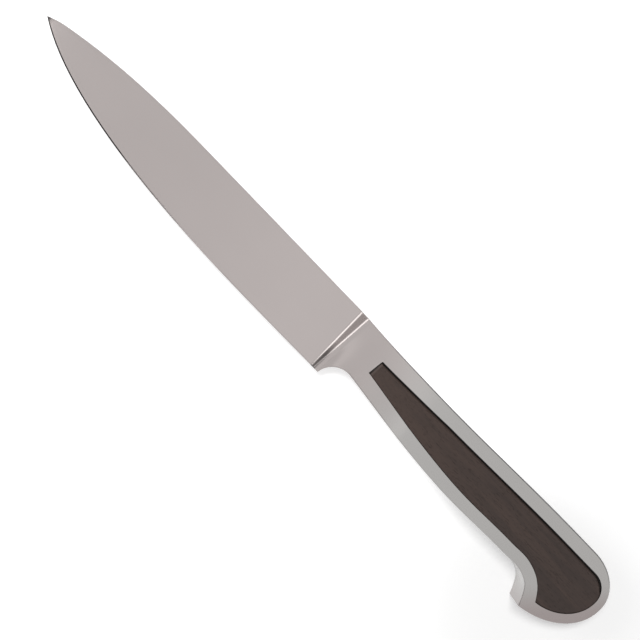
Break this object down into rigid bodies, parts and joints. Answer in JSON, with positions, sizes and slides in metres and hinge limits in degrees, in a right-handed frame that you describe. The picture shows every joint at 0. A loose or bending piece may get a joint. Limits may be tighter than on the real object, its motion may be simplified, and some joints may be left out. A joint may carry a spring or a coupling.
{
  "type": "paring knife",
  "caption": "Forged paring knife with a slim pointed blade, a stepped bolster and a hooked steel handle with dark wood inlaid in its sides.",
  "frame": {"origin": "bottom centre of the bounding box: the knife lies on its right side, so this point is under the middle of its length and height", "axes": "+X along the knife to the blade's tip, +Y to the cutting edge, +Z through its thickness to its left side"},
  "size_m": [0.235, 0.0266, 0.014],
  "materials": {
    "steel": "fine satin, ground along the knife",
    "wood": "dark hardwood, oiled to a low sheen",
    "glue": "cured dark epoxy"
  },
  "bodies": {
    "root": {"knife_body": "steel", "inlay_left": "wood", "inlay_right": "wood", "glue_bed_left": "glue", "glue_bed_right": "glue"}
  },
  "joints": []
}
